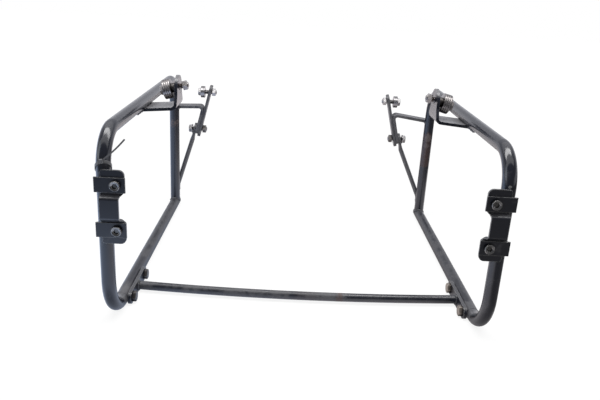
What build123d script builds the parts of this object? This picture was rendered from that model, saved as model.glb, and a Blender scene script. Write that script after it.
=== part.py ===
"""Pannier frame: two bent tube hoops joined by a bolted cross tube, with the
brackets, straps, clamps and loose mounting bolts that hold it to a motorbike.

Millimetres. +X is the right-hand side, +Y points forwards, +Z is up. The frame
stands on its two bottom rails, with the origin under the middle of its box.
Each sided piece is modelled on the right and mirrored to the left, where only
the front arms and straps stand differently.
"""
import os
from math import cos, radians, sin, tan

from build123d import *

os.makedirs("parts", exist_ok=True)

# Hoops and rails
tube_d = 18.0
tube_wall = 2.0
hoop_spacing = 490.0
hoop_length = 470.0
hoop_height = 246.0
hoop_bend_r = 45.0
foot_bend_r = 55.0
hoop_tail = 1.5
rail_overhang = 10.0
cope_root = 1.5

# Cross tube and the flanges that bolt it to the rails
cross_d = 12.5
cross_wall = 1.5
cross_bow = 12.0
cross_y_from_rear = 100.0
flange_length = 97.0
flange_height = 18.0
flange_t = 4.5
flange_bolt_pitch = 71.0
bush_d = 11.0

# Top bracket: a leg welded low on the top tube's inner side, folded up into an ear
bracket_t = 4.5
bracket_w = 52.0
bracket_y_from_rear = 216.0
bracket_bend_r = 7.0
bracket_root = 4.0
bracket_drop = 4.0
bracket_slope = 5.0
ear_offset = 52.0
ear_rise = 42.0
ear_w = 40.0
ear_shoulder = 12.0
ear_hole_rise = 24.5
ear_bolt_droop = 15.0
ear_spacer_d = 14.0
ear_spacer_l = 5.0
ear_washer_d = 29.0
ear_washer_t = 3.0
ear_washer_count = 4
ear_nut_clear = 3.5

# Front arm, strap and stay
arm_w = 25.0
arm_t = 5.0
arm_drop = 56.0
right_arm_slope = 8.5
left_arm_slope = 3.0
arm_forward = 18.0
arm_bend_r = 6.0
tab_tail = 9.0
tab_corner_r = 8.0
strap_w = 20.0
strap_t = 5.0
strap_lean = 14.0
right_strap_offset = 62.0
left_strap_offset = 47.0
strap_bolt_drop = 101.0
strap_bolt_pitch = 76.0
strap_end = 14.0
strap_bolt_slack = 4.0
strap_washer_d = 22.0
strap_washer_t = 2.5
strap_washer_count = 3
stay_d = 8.5
stay_foot_rise = 30.0
stay_foot_angle = 70.0
eye_d = 20.0
eye_t = 5.0
neck_w = 15.0
neck_start = 10.0
neck_end = 23.0
joint_washer_d = 17.0
joint_washer_t = 1.6

# Rear latch plates and the straps that clamp them to the rear uprights
plate_t = 3.0
plate_length = 94.0
plate_outboard = 1.5
plate_inboard = 27.5
plate_corner_r = 7.0
plate_outer_corner_r = 3.0
hat_length = 26.0
hat_raise = 8.0
hat_ramp = 3.0
hat_bend_r = 2.5
notch_depth = 6.0
notch_floor = 28.0
notch_mouth = 39.0
notch_r = 4.0
clamp_t = 2.0
clamp_h = 19.0
clamp_inboard = 28.7
clamp_outboard = 8.7
clamp_hook_h = 8.0
clamp_hook_end = 4.0
clamp_bend_r = 8.0
clamp_bend_gap = 4.25
clamp_fold_gap = 3.25
clamp_screw_offset = 17.0

# M8 fasteners, and the play around them
bolt_d = 8.0
hex_af = 13.0
hex_head_h = 5.3
hex_edge = 0.9
nut_h = 6.5
bolt_tip = 0.8
bolt_proud = 2.0
screw_head_d = 13.0
screw_head_h = 5.0
socket_af = 6.0
socket_depth = 3.0
hole_play = 0.3
thread_play = 0.1
seat_gap = 0.1

# Cable tie left on the left-hand rear upright
tie_w = 3.0
tie_t = 1.0
tie_slope = 47.0
tie_roll = 15.0
tie_gap = 0.5
tie_head = 4.6
tie_tail_w = 2.0
tie_tail_rise = 28.0
tie_tail_reach = 29.0
tie_tail_sag = 1.5

# Places that follow from the sizes
tube_r = tube_d / 2
bolt_r = bolt_d / 2
side_x = hoop_spacing / 2
rail_z = tube_r
top_z = rail_z + hoop_height
rear_reach = max(plate_t + hat_raise, plate_t + clamp_t + screw_head_h) + tube_r
front_reach = arm_forward + max(arm_w, strap_w) / 2
rear_y = (rear_reach - front_reach - hoop_length) / 2
front_y = rear_y + hoop_length
rail_start_y = rear_y + foot_bend_r + hoop_tail
cross_y = rear_y + cross_y_from_rear
bracket_y = rear_y + bracket_y_from_rear
strap_y = front_y + arm_forward
flange_face_x = side_x - tube_r
cross_end_x = flange_face_x - flange_t
clamp_pitch = hat_length + 2 * (hat_ramp + clamp_fold_gap) + clamp_h
plate_z = top_z - hoop_bend_r - clamp_bend_gap - (clamp_h + clamp_pitch) / 2


def save(piece, name):
    """Label a finished sub-part and write its STEP file."""
    piece.part.label = name
    export_step(piece.part, f"parts/{name}.step")


def save_hand(piece, name, hand):
    """Write one hand of a sub-part that is modelled on the right."""
    if hand == "right":
        save(piece, f"right_{name}")
        return
    with BuildPart() as mirrored:
        mirror(piece.part, about=Plane.YZ)
    save(mirrored, f"left_{name}")


def save_pair(piece, name):
    """Write a right-hand sub-part and its left-hand mirror image."""
    save_hand(piece, name, "right")
    save_hand(piece, name, "left")


def tilted_hole_r(thickness, tilt):
    """Radius of the hole that lets a bolt lie at this tilt through a plate."""
    slope = radians(tilt)
    return bolt_r / cos(slope) + thickness / 2 * tan(slope) + hole_play / 2


def stand_off(depth, radius, tilt):
    """Distance along a tilted bolt at which a disc just clears a plate's face."""
    slope = radians(tilt)
    return (depth + radius * sin(slope)) / cos(slope) + seat_gap


def hex_prism(seat, height):
    """Hexagon with turned corners, from the seat plane along its normal."""
    corner_r = hex_af / 2 / cos(radians(30))
    with BuildPart() as prism:
        with BuildSketch(seat):
            Circle(corner_r)
        extrude(amount=height)
        far_face = prism.faces().sort_by(Axis(seat.origin, seat.z_dir))[-1]
        chamfer(far_face.edges(), length=hex_edge / 2, length2=hex_edge)
        with BuildSketch(seat):
            RegularPolygon(hex_af / 2, 6, major_radius=False)
        extrude(amount=height, mode=Mode.INTERSECT)
    return prism


def hex_bolt(seat, length):
    """Bolt with its head behind the seat plane and its shank along the normal."""
    head_side = Plane(seat.origin, x_dir=seat.x_dir, z_dir=-seat.z_dir)
    head = hex_prism(head_side, hex_head_h)
    with BuildPart() as bolt:
        add(head.part)
        with BuildSketch(seat):
            Circle(bolt_r)
        extrude(amount=length)
        tip_face = bolt.faces().sort_by(Axis(seat.origin, seat.z_dir))[-1]
        chamfer(tip_face.edges(), length=bolt_tip)
    return bolt


def hex_nut(seat):
    """Nut on the seat plane, with its bore along the normal."""
    body = hex_prism(seat, nut_h)
    with BuildPart() as nut:
        add(body.part)
        with BuildSketch(seat):
            Circle(bolt_r + thread_play)
        extrude(amount=nut_h, mode=Mode.SUBTRACT)
    return nut


def washers(seat, diameter, thickness, count=1):
    """Washers stacked from the seat plane along its normal."""
    with BuildPart() as stack:
        for place in range(count):
            with BuildSketch(seat.offset(place * (thickness + seat_gap / 2))):
                Circle(diameter / 2)
                Circle(bolt_r + thread_play, mode=Mode.SUBTRACT)
            extrude(amount=thickness)
    return stack


def stack_length(thickness, count):
    """Length of a stack of washers with a hair's gap after each."""
    return count * (thickness + seat_gap / 2)


def hoop_run():
    """Centre line of a hoop, drawn in its own upright plane."""
    FilletPolyline(
        (front_y, rail_z + cope_root),
        (front_y, top_z),
        (rear_y, top_z),
        (rear_y, rail_z),
        (rail_start_y, rail_z),
        radius=(hoop_bend_r, hoop_bend_r, foot_bend_r),
    )


# Main hoop: one bent tube from the front upright over the top, down the rear
# upright and round to the butt joint with the bottom rail
hoop_plane = Plane((side_x, 0, 0), x_dir=(0, 1, 0), z_dir=(1, 0, 0))
with BuildPart() as hoop:
    with BuildLine(hoop_plane) as hoop_path:
        hoop_run()
    with BuildSketch(Plane(hoop_path.line @ 0, z_dir=hoop_path.line % 0)):
        Circle(tube_r)
        Circle(tube_r - tube_wall, mode=Mode.SUBTRACT)
    sweep()
    # The foot of the front upright is coped to sit on the rail
    with BuildSketch(Plane.XZ.offset(-front_y)):
        with Locations((side_x, rail_z)):
            Circle(tube_r)
    extrude(amount=tube_d, both=True, mode=Mode.SUBTRACT)
save_pair(hoop, "main_hoop")

# Bottom rail, with two welded bushes on its inner side for the cross tube
bush_ys = [cross_y - flange_bolt_pitch / 2, cross_y + flange_bolt_pitch / 2]
with BuildPart() as rail:
    with BuildSketch(Plane.XZ.offset(-rail_start_y)):
        with Locations((side_x, rail_z)):
            Circle(tube_r)
            Circle(tube_r - tube_wall, mode=Mode.SUBTRACT)
    extrude(amount=rail_start_y - front_y - rail_overhang)
    with BuildSketch(Plane.YZ.offset(flange_face_x)):
        with Locations(*[(y, rail_z) for y in bush_ys]):
            Circle(bush_d / 2)
    extrude(amount=tube_r, mode=Mode.SUBTRACT)
save_pair(rail, "bottom_rail")

with BuildPart() as rail_bushes:
    with BuildSketch(Plane.YZ.offset(flange_face_x)):
        with Locations(*[(y, rail_z) for y in bush_ys]):
            Circle(bush_d / 2)
            Circle(bolt_r + thread_play, mode=Mode.SUBTRACT)
    extrude(amount=tube_r)
save_pair(rail_bushes, "rail_bushes")

# Cross tube, bowed gently rearwards, cut to the flanges' inner faces
cross_run = cross_end_x + cross_d
with BuildPart() as cross_tube:
    with BuildLine(Plane.XY.offset(rail_z)) as cross_path:
        ThreePointArc((-cross_run, cross_y), (0, cross_y - cross_bow), (cross_run, cross_y))
    with BuildSketch(Plane(cross_path.line @ 0, z_dir=cross_path.line % 0)):
        Circle(cross_d / 2)
        Circle(cross_d / 2 - cross_wall, mode=Mode.SUBTRACT)
    sweep()
    split(bisect_by=Plane.YZ.offset(cross_end_x), keep=Keep.BOTTOM)
    split(bisect_by=Plane.YZ.offset(-cross_end_x), keep=Keep.TOP)
save(cross_tube, "cross_tube")

with BuildPart() as flange:
    with BuildSketch(Plane.YZ.offset(cross_end_x)):
        with Locations((cross_y, rail_z)):
            SlotOverall(flange_length, flange_height)
        with Locations(*[(y, rail_z) for y in bush_ys]):
            Circle(bolt_r + hole_play, mode=Mode.SUBTRACT)
    extrude(amount=flange_t)
save_pair(flange, "cross_tube_flange")

flange_bolt_l = flange_t + tube_r - bolt_tip
with BuildPart() as flange_bolts:
    for y in bush_ys:
        add(hex_bolt(Plane((cross_end_x, y, rail_z), x_dir=(0, 1, 0), z_dir=(1, 0, 0)), flange_bolt_l).part)
save_pair(flange_bolts, "flange_bolts")

# Top bracket: a plate coped to the top tube, folded up into the bolted ear
fold_z = top_z - bracket_drop
root_x = side_x - bracket_root
root_z = fold_z - (ear_offset - bracket_root) * tan(radians(bracket_slope))
ear_x = side_x - ear_offset
ear_hole_z = top_z + ear_hole_rise
shoulder_z = fold_z + bracket_bend_r
ear_round_z = top_z + ear_rise - ear_w / 2
with BuildPart() as top_bracket:
    with BuildSketch(Plane.XZ.offset(-bracket_y)):
        with BuildLine():
            FilletPolyline(
                (root_x, root_z),
                (ear_x, fold_z),
                (ear_x, top_z + ear_rise),
                radius=bracket_bend_r,
            )
        trace(line_width=bracket_t)
        with Locations((side_x, top_z)):
            Circle(tube_r, mode=Mode.SUBTRACT)
    extrude(amount=bracket_w / 2, both=True)
    # Above the fold the plate narrows to the ear, which has a round top
    with BuildSketch(Plane.YZ.offset(ear_x)):
        with Locations((bracket_y, shoulder_z)):
            Polygon(
                (-bracket_w / 2, -ear_rise),
                (bracket_w / 2, -ear_rise),
                (bracket_w / 2, 0),
                (ear_w / 2, ear_shoulder),
                (-ear_w / 2, ear_shoulder),
                (-bracket_w / 2, 0),
                align=None,
            )
        with Locations((bracket_y, ear_round_z)):
            Circle(ear_w / 2)
        with Locations((bracket_y, (shoulder_z + ear_shoulder + ear_round_z) / 2)):
            Rectangle(ear_w, ear_round_z - shoulder_z - ear_shoulder)
    extrude(amount=ear_offset, both=True, mode=Mode.INTERSECT)
    with BuildSketch(Plane.YZ.offset(ear_x)):
        with Locations((bracket_y, ear_hole_z)):
            Circle(tilted_hole_r(bracket_t, ear_bolt_droop))
    extrude(amount=bracket_t, both=True, mode=Mode.SUBTRACT)
save_pair(top_bracket, "top_bracket")

# Loose bolt in the ear: its head and washers hang down on the outboard side
droop = radians(ear_bolt_droop)
ear_axis = Plane((ear_x, bracket_y, ear_hole_z), x_dir=(0, 1, 0), z_dir=(cos(droop), 0, -sin(droop)))
ear_axis_inboard = Plane(ear_axis.origin, x_dir=(0, 1, 0), z_dir=-ear_axis.z_dir)
spacer_at = stand_off(bracket_t / 2, ear_spacer_d / 2, ear_bolt_droop)
washers_at = spacer_at + ear_spacer_l + seat_gap
ear_head_at = washers_at + stack_length(ear_washer_t, ear_washer_count)
ear_nut_at = stand_off(bracket_t / 2, hex_af / 2, ear_bolt_droop) + ear_nut_clear
ear_bolt_l = ear_head_at + ear_nut_at + nut_h + bolt_proud

save_pair(washers(ear_axis.offset(spacer_at), ear_spacer_d, ear_spacer_l), "ear_spacer")
save_pair(washers(ear_axis.offset(washers_at), ear_washer_d, ear_washer_t, ear_washer_count), "ear_washers")
save_pair(hex_bolt(ear_axis_inboard.offset(-ear_head_at), ear_bolt_l), "ear_bolt")
save_pair(hex_nut(ear_axis_inboard.offset(ear_nut_at)), "ear_nut")

# Front arm, strap and stay. The two hands differ in how far inboard the strap
# stands and how steeply the arm climbs to it, so each is modelled on the right,
# and the left is then mirrored.
# strap_plane has the strap's lower bolt at its origin, its length along Y and
# outboard along its normal
lean = radians(strap_lean)
joint_depth = (strap_t + arm_t) / 2
eye_depth = strap_t / 2 + arm_t + eye_t / 2
strap_hole_y = joint_depth * tan(lean)
eye_hole_y = (joint_depth - eye_depth) * tan(lean)
strap_length = strap_bolt_pitch + 2 * strap_end
arm_z = top_z - arm_drop
foot_angle = radians(stay_foot_angle)
rod_foot = Vector(
    side_x - tube_r * cos(foot_angle),
    front_y + tube_r * sin(foot_angle),
    rail_z + stay_foot_rise,
)
front_hands = (
    ("right", right_strap_offset, right_arm_slope),
    ("left", left_strap_offset, left_arm_slope),
)
for hand, strap_offset, arm_slope in front_hands:
    strap_plane = Plane(
        (side_x - strap_offset, strap_y, top_z - strap_bolt_drop),
        x_dir=(0, 1, 0),
        z_dir=(cos(lean), 0, sin(lean)),
    )
    with BuildPart() as front_strap:
        with BuildSketch(strap_plane):
            with Locations((0, strap_bolt_pitch / 2)):
                RectangleRounded(strap_w, strap_length, strap_w / 2 - seat_gap)
            with Locations((0, strap_hole_y), (0, strap_bolt_pitch)):
                Circle(tilted_hole_r(strap_t, strap_lean), mode=Mode.SUBTRACT)
        extrude(amount=strap_t / 2, both=True)
    save_hand(front_strap, "front_strap", hand)

    # Arm: a flat strip welded to the front upright, its inner end folded down as
    # a tab against the strap
    tab_plane = strap_plane.offset(joint_depth)
    arm_climb = strap_offset / 2 * tan(radians(arm_slope))
    tab_climb = (arm_z + arm_climb - tab_plane.origin.Z) / cos(lean)
    fold_x = tab_plane.origin.X - tab_climb * sin(lean)
    tab_end = tab_plane.from_local_coords(Vector(0, -tab_tail, 0))
    with BuildPart() as front_arm:
        with BuildSketch(Plane.XZ.offset(-strap_y)):
            with BuildLine():
                FilletPolyline(
                    (side_x, arm_z - arm_climb),
                    (fold_x, arm_z + arm_climb),
                    (tab_end.X, tab_end.Z),
                    radius=arm_bend_r,
                )
            trace(line_width=arm_t)
        extrude(amount=arm_w / 2, both=True)
        tab_corners = front_arm.edges().filter_by(Axis(tab_plane.origin, tab_plane.z_dir))
        fillet(tab_corners.group_by(Axis.Z)[0], tab_corner_r)
        with BuildSketch(tab_plane):
            Circle(tilted_hole_r(arm_t, strap_lean))
        extrude(amount=arm_t, both=True, mode=Mode.SUBTRACT)
        with BuildSketch(Plane.XY.offset(arm_z)):
            with Locations((side_x, front_y)):
                Circle(tube_r)
        extrude(amount=arm_w, both=True, mode=Mode.SUBTRACT)
    save_hand(front_arm, "front_arm", hand)

    # Stay: a rod from the strap's lower bolt to the foot of the front upright,
    # its top end flattened into an eye
    eye_plane = strap_plane.offset(eye_depth)
    down_strap = -strap_plane.y_dir
    neck_plane = Plane(eye_plane.origin + down_strap * neck_start, x_dir=(0, 1, 0), z_dir=down_strap)
    rod_top = eye_plane.origin + down_strap * neck_end
    rod_plane = Plane(rod_top, x_dir=(0, 1, 0), z_dir=rod_foot - rod_top)
    with BuildPart() as stay:
        with BuildSketch(eye_plane):
            Circle(eye_d / 2)
            with Locations((0, -neck_start / 2)):
                Rectangle(neck_w, neck_start)
        extrude(amount=eye_t / 2, both=True)
        with BuildSketch(neck_plane):
            Rectangle(neck_w, eye_t)
        with BuildSketch(rod_plane):
            Circle(stay_d / 2)
        loft()
        with BuildSketch(rod_plane):
            Circle(stay_d / 2)
        extrude(amount=(rod_foot - rod_top).length)
        with BuildSketch(eye_plane):
            with Locations((0, eye_hole_y)):
                Circle(tilted_hole_r(eye_t, strap_lean))
        extrude(amount=eye_t, both=True, mode=Mode.SUBTRACT)
        with BuildSketch(Plane.XY.offset(rail_z)):
            with Locations((side_x, front_y)):
                Circle(tube_r)
        extrude(amount=hoop_height, mode=Mode.SUBTRACT)
    save_hand(stay, "stay", hand)

    # The strap's bolts are loose and lie level, across the leaning plates
    upper_hole = strap_plane.from_local_coords(Vector(0, strap_bolt_pitch, 0))
    upper_out = Plane(upper_hole, x_dir=(0, 1, 0), z_dir=(1, 0, 0))
    upper_in = Plane(upper_hole, x_dir=(0, 1, 0), z_dir=(-1, 0, 0))
    upper_washers_at = stand_off(strap_t / 2, strap_washer_d / 2, strap_lean) + strap_bolt_slack
    upper_head_at = upper_washers_at + stack_length(strap_washer_t, strap_washer_count)
    upper_nut_at = stand_off(strap_t / 2, hex_af / 2, strap_lean)
    upper_bolt_l = upper_head_at + upper_nut_at + nut_h + bolt_proud
    upper_stack = upper_out.offset(upper_washers_at)
    upper_washers = washers(upper_stack, strap_washer_d, strap_washer_t, strap_washer_count)
    save_hand(upper_washers, "strap_upper_washers", hand)
    save_hand(hex_bolt(upper_in.offset(-upper_head_at), upper_bolt_l), "strap_upper_bolt", hand)
    save_hand(hex_nut(upper_in.offset(upper_nut_at)), "strap_upper_nut", hand)

    lower_out = Plane(tab_plane.origin, x_dir=(0, 1, 0), z_dir=(1, 0, 0))
    lower_in = Plane(tab_plane.origin, x_dir=(0, 1, 0), z_dir=(-1, 0, 0))
    lower_washer_at = stand_off(arm_t / 2 + eye_t, joint_washer_d / 2, strap_lean)
    lower_head_at = lower_washer_at + joint_washer_t + seat_gap
    lower_nut_at = stand_off(arm_t / 2 + strap_t, hex_af / 2, strap_lean)
    lower_bolt_l = lower_head_at + lower_nut_at + nut_h + bolt_proud
    lower_washer = washers(lower_out.offset(lower_washer_at), joint_washer_d, joint_washer_t)
    save_hand(lower_washer, "strap_lower_washer", hand)
    save_hand(hex_bolt(lower_in.offset(-lower_head_at), lower_bolt_l), "strap_lower_bolt", hand)
    save_hand(hex_nut(lower_in.offset(lower_nut_at)), "strap_lower_nut", hand)

# Latch plate on the back of the rear upright: two flat tabs and a raised,
# notched middle, folded from one strip
tab_y = rear_y - tube_r - plate_t / 2
hat_y = tab_y - hat_raise
hat_half = hat_length / 2
plate_half = plate_length / 2
plate_middle_x = side_x + (plate_outboard - plate_inboard) / 2
screw_x = side_x - clamp_screw_offset
screw_zs = [plate_z - clamp_pitch / 2, plate_z + clamp_pitch / 2]
with BuildPart() as latch_plate:
    with BuildSketch(Plane.YZ.offset(plate_middle_x)):
        with BuildLine():
            FilletPolyline(
                (tab_y, plate_z + plate_half),
                (tab_y, plate_z + hat_half + hat_ramp),
                (hat_y, plate_z + hat_half),
                (hat_y, plate_z - hat_half),
                (tab_y, plate_z - hat_half - hat_ramp),
                (tab_y, plate_z - plate_half),
                radius=hat_bend_r,
            )
        trace(line_width=plate_t)
    extrude(amount=(plate_outboard + plate_inboard) / 2, both=True)
    corners = latch_plate.edges().filter_by(Axis.Y)
    inboard_corners = corners.group_by(Axis.X)[0]
    outboard_corners = corners.group_by(Axis.X)[-1]
    fillet(inboard_corners.group_by(Axis.Z)[0] + inboard_corners.group_by(Axis.Z)[-1], plate_corner_r)
    outer_ends = outboard_corners.group_by(Axis.Z)[0] + outboard_corners.group_by(Axis.Z)[-1]
    fillet(outer_ends, plate_outer_corner_r)
    with BuildSketch(Plane.XZ.offset(-rear_y)) as notch:
        with Locations((side_x - plate_inboard, plate_z)):
            Polygon(
                (notch_depth, notch_floor / 2),
                (-notch_depth, notch_mouth - notch_floor / 2),
                (-notch_depth, notch_floor / 2 - notch_mouth),
                (notch_depth, -notch_floor / 2),
                align=None,
            )
        fillet(notch.vertices().group_by(Axis.X)[-1], notch_r)
        with Locations(*[(screw_x, z) for z in screw_zs]):
            Circle(bolt_r + hole_play)
    extrude(amount=rear_reach, mode=Mode.SUBTRACT)
save_pair(latch_plate, "latch_plate")

# Clamp strap: a flat leg over the plate, with a tongue of its outer end bent
# round the upright as a hook
clamp_back_y = rear_y - tube_r - plate_t - clamp_t / 2
clamp_wrap = tube_r + seat_gap + clamp_t / 2
clamp_side_x = side_x + clamp_wrap
clamp_front_y = rear_y + clamp_wrap
clamp_middle_x = side_x + (clamp_outboard - clamp_inboard) / 2
for screw_z, level in zip(screw_zs, ("lower", "upper")):
    with BuildPart() as clamp:
        with BuildSketch(Plane.XY.offset(screw_z)):
            with BuildLine():
                FilletPolyline(
                    (side_x, clamp_back_y),
                    (clamp_side_x, clamp_back_y),
                    (clamp_side_x, clamp_front_y),
                    (side_x - clamp_hook_end, clamp_front_y),
                    radius=clamp_bend_r,
                )
            trace(line_width=clamp_t)
        extrude(amount=clamp_hook_h / 2, both=True)
        with BuildSketch(Plane.XZ.offset(-clamp_back_y)):
            with Locations((clamp_middle_x, screw_z)):
                Rectangle(clamp_inboard + clamp_outboard, clamp_h)
            with Locations((screw_x, screw_z)):
                Circle(bolt_r + hole_play, mode=Mode.SUBTRACT)
        extrude(amount=clamp_t / 2, both=True)
    save_pair(clamp, f"{level}_clamp_strap")

# Socket screws of the clamps, and their nuts on the plate's forward face
screw_seat_y = clamp_back_y - clamp_t / 2
nut_seat_y = rear_y - tube_r
screw_l = clamp_t + plate_t + nut_h + bolt_proud
with BuildPart() as clamp_screws:
    with BuildSketch(Plane.XZ.offset(-screw_seat_y)):
        with Locations(*[(screw_x, z) for z in screw_zs]):
            Circle(screw_head_d / 2)
    extrude(amount=screw_head_h)
    chamfer(clamp_screws.faces().group_by(Axis.Y)[0].edges(), bolt_tip)
    with BuildSketch(Plane.XZ.offset(-screw_seat_y)):
        with Locations(*[(screw_x, z) for z in screw_zs]):
            Circle(bolt_r)
    extrude(amount=-screw_l)
    chamfer(clamp_screws.faces().group_by(Axis.Y)[-1].edges(), bolt_tip)
    with BuildSketch(Plane.XZ.offset(screw_head_h - screw_seat_y)):
        with Locations(*[(screw_x, z) for z in screw_zs]):
            RegularPolygon(socket_af / 2, 6, major_radius=False)
    extrude(amount=-socket_depth, mode=Mode.SUBTRACT)
save_pair(clamp_screws, "clamp_screws")

with BuildPart() as clamp_nuts:
    for z in screw_zs:
        add(hex_nut(Plane((screw_x, nut_seat_y, z), x_dir=(0, 0, 1), z_dir=(0, 1, 0))).part)
save_pair(clamp_nuts, "clamp_nuts")


def upright_y(z):
    """Y of the rear upright's axis at a height, also in the hoop's top bend."""
    into_bend = max(0.0, z - (top_z - hoop_bend_r))
    return rear_y + hoop_bend_r - (hoop_bend_r**2 - into_bend**2) ** 0.5


# Cable tie round the left-hand rear upright. Its loop slopes up rearwards, over the
# top of the latch plate and clear of the clamp's hook, to a square head, and a tail
# springs inboard from there
tie_r = tube_r + seat_gap
tie_climb = tan(radians(tie_slope))
tie_lean = tan(radians(tie_roll))
tie_fall = (tie_climb**2 + tie_lean**2) ** 0.5
tie_half = tie_w / 2 * (1 + tie_fall**2) ** 0.5
hook_top_z = screw_zs[-1] + clamp_hook_h / 2
over_hook_z = hook_top_z + tie_gap + tie_half + (tie_r + tie_t) * tie_fall
over_plate_z = plate_z + plate_half + tie_gap + tie_half - tube_r * (tie_climb - tie_lean)
tie_z = max(over_hook_z, over_plate_z)
tie_y = upright_y(tie_z)
tie_plane = Plane((-side_x, tie_y, tie_z), z_dir=(-tie_lean, tie_climb, 1))
head_z = tie_z + tie_r * tie_climb
head_y = upright_y(head_z) - tie_r - tie_head / 2
tail_start = Vector(-side_x, head_y, head_z)
tail_end = Vector(tie_tail_reach - side_x, head_y, head_z + tie_tail_rise)
tail_middle = (tail_start + tail_end) / 2 - Vector(0, 0, tie_tail_sag)
with BuildPart() as cable_tie:
    with BuildLine(Plane((-side_x, 0, 0), x_dir=(0, 1, 0), z_dir=(1, 0, 0))) as tie_path:
        hoop_run()
    tie_section = Plane(tie_path.line @ 0, z_dir=tie_path.line % 0)
    with BuildSketch(tie_section):
        Circle(tie_r + tie_t)
    sweep(path=tie_path.line)
    with BuildSketch(tie_plane):
        Circle(tube_d)
    extrude(amount=tie_w / 2, both=True, mode=Mode.INTERSECT)
    with BuildSketch(Plane((-side_x, head_y, head_z))):
        Rectangle(tie_head, tie_head)
    extrude(amount=tie_head / 2, both=True)
    with BuildLine() as tail_path:
        ThreePointArc(tail_start, tail_middle, tail_end)
    with BuildSketch(Plane(tail_path.line @ 0, x_dir=(0, 1, 0), z_dir=tail_path.line % 0)):
        Rectangle(tie_t, tie_tail_w)
    sweep(path=tail_path.line)
    with BuildSketch(tie_section):
        Circle(tie_r)
    sweep(path=tie_path.line, mode=Mode.SUBTRACT)
save(cable_tie, "cable_tie")
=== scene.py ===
# %% [markdown]
# # A pannier frame in worn black paint
#
# The solids of this frame come from the CAD model and stay as they are. This lesson
# dresses them: it adds the weld beads, cuts real threads on the bolts, and mixes a
# paint that is rubbed, chipped and a little rusty, as on a frame that has been used.
# Everything is in metres, +X is the motorbike's right-hand side and +Y points forwards.

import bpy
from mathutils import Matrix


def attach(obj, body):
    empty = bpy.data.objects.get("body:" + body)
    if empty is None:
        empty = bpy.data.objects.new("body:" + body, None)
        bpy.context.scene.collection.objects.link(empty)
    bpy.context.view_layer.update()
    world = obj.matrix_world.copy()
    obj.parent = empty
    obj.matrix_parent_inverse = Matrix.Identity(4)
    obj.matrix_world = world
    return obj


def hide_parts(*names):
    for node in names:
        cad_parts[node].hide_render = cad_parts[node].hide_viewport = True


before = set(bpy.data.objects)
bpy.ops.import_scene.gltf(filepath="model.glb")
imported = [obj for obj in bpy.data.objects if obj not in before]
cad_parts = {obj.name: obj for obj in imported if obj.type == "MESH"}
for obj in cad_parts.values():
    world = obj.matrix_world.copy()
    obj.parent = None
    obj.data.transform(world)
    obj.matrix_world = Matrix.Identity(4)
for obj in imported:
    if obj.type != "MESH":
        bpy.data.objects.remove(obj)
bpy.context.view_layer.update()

# %% Tools of the lesson
from math import pi, radians

import bmesh
import bpy
import numpy as np
from mathutils import Matrix, Vector

scene = bpy.context.scene
scene.view_settings.view_transform = "Standard"

# %% [markdown]
# ## The camera
#
# The frame stands square to the room and the camera is turned instead. Three turns are
# enough: round the vertical, then up or down, then a small roll about the line of sight.
# The three columns of the product are the camera's right, forward and up directions.

# %% Camera
def turn(axis, degrees):
    """Rotation matrix about one of the frame's axes."""
    return np.array(Matrix.Rotation(radians(degrees), 3, axis))


focal_px = 631.8
image_px = 600
pan, tilt, roll = -1.467, -18.898, -3.306
eye = (-0.02635, -0.96971, 0.43469)
right, forward, up = (turn("Z", pan) @ turn("X", tilt) @ turn("Y", roll)).T
camera = bpy.data.objects.new("camera", bpy.data.cameras.new("camera"))
camera.data.sensor_width = 36.0
camera.data.lens = focal_px / image_px * camera.data.sensor_width
camera.matrix_world = Matrix(np.column_stack([right, up, -forward]).tolist()).to_4x4()
camera.location = eye
scene.collection.objects.link(camera)
scene.camera = camera
print("lens:", round(camera.data.lens, 2), "mm")

# %% [markdown]
# ## Nodes without clutter
#
# Materials are built from nodes, and most lines of such code only add a node and connect
# it. One helper does both: a socket that is given a value keeps it, and a socket that is
# given another node's output is linked to it. The others are short names for the nodes that
# come back again and again, so that a material reads like a sum.

# %% Node helpers
def wire(tree, kind, sockets=None, **attributes):
    """Add a node, set its attributes, and set or link its named sockets."""
    made = tree.nodes.new(kind)
    for key, value in attributes.items():
        setattr(made, key, value)
    for key, value in (sockets or {}).items():
        if isinstance(value, bpy.types.NodeSocket):
            tree.links.new(value, made.inputs[key])
        else:
            made.inputs[key].default_value = value
    return made


def calc(tree, operation, a, b=0.0, clamp=False):
    """One arithmetic step on two values."""
    sockets = {0: a, 1: b}
    return wire(tree, "ShaderNodeMath", sockets, operation=operation, use_clamp=clamp).outputs[0]


def plus(tree, a, b, clamp=False):
    """a + b, kept between 0 and 1 if it is clamped."""
    return calc(tree, "ADD", a, b, clamp)


def minus(tree, a, b):
    """a - b."""
    return calc(tree, "SUBTRACT", a, b)


def times(tree, a, b, clamp=False):
    """a times b, kept between 0 and 1 if it is clamped."""
    return calc(tree, "MULTIPLY", a, b, clamp)


def larger(tree, a, b):
    """The larger of two values."""
    return calc(tree, "MAXIMUM", a, b)


# %% Helpers for colours, ramps and places
# Sockets of the Mix node that belong to colours, by number because their names come up again.
mix_mask, mix_under, mix_over, mix_result = 0, 6, 7, 2


def blend(tree, mask, under, over):
    """The under colour where the mask is 0 and the over colour where it is 1."""
    sockets = {mix_mask: mask, mix_under: under, mix_over: over}
    return wire(tree, "ShaderNodeMix", sockets, data_type="RGBA").outputs[mix_result]


def step_between(tree, value, low, high):
    """0 below low, 1 above high and a smooth ramp between, also when low is above high."""
    sockets = {"Value": value, "From Min": low, "From Max": high}
    return wire(tree, "ShaderNodeMapRange", sockets, interpolation_type="SMOOTHSTEP").outputs[0]


def measure(tree, operation, a, b=(0, 0, 0)):
    """One value from two vectors, such as their distance."""
    sockets = {0: a, 1: b}
    return wire(tree, "ShaderNodeVectorMath", sockets, operation=operation).outputs["Value"]


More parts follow.
